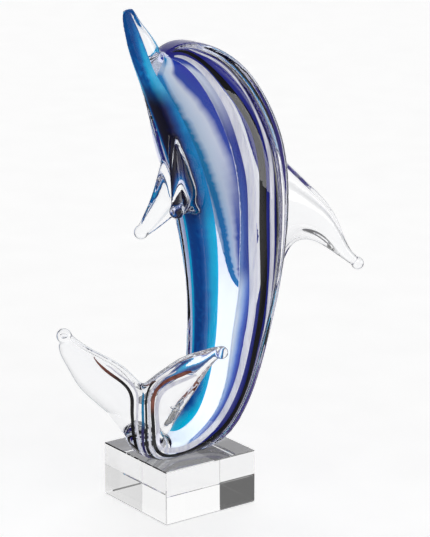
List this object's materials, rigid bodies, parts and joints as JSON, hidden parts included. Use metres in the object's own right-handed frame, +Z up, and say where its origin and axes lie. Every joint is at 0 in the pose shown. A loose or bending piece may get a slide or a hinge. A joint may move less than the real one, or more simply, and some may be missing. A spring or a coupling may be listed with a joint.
{
  "type": "glass dolphin figurine",
  "caption": "Leaping dolphin in clear cased glass with blue, white and black canes inside, bonded to a square clear block.",
  "frame": {"origin": "centre of the block's underside", "axes": "+Z up, belly and beak towards -X, back towards +X, left flank towards -Y"},
  "size_m": [0.2024, 0.0974, 0.2752],
  "materials": {
    "block_glass": "polished optical glass",
    "bond": "clear UV-cured adhesive",
    "casing_glass": "fire-polished clear glass",
    "white_glass": "opaque white glass cane",
    "black_glass": "opaque black glass cane",
    "violet_glass": "dense violet glass",
    "navy_glass": "dense navy glass",
    "aqua_glass": "transparent aqua to blue glass",
    "cobalt_glass": "transparent cobalt glass",
    "opal_glass": "milky opal glass"
  },
  "bodies": {
    "root": {"base_block": "block_glass", "adhesive_pad": "bond", "body_casing": "casing_glass", "white_cane_left": "white_glass", "white_cane_right": "white_glass", "black_cane_left": "black_glass", "black_cane_right": "black_glass", "white_thread_left": "white_glass", "white_thread_right": "white_glass", "black_thread_left": "black_glass", "black_thread_right": "black_glass", "violet_band_left": "violet_glass", "violet_band_right": "violet_glass", "tail_spine": "navy_glass", "belly_band": "aqua_glass", "cobalt_back": "cobalt_glass", "opal_core": "opal_glass", "dorsal_fin": "casing_glass", "pectoral_fin_left": "casing_glass", "pectoral_fin_right": "casing_glass"}
  },
  "joints": []
}
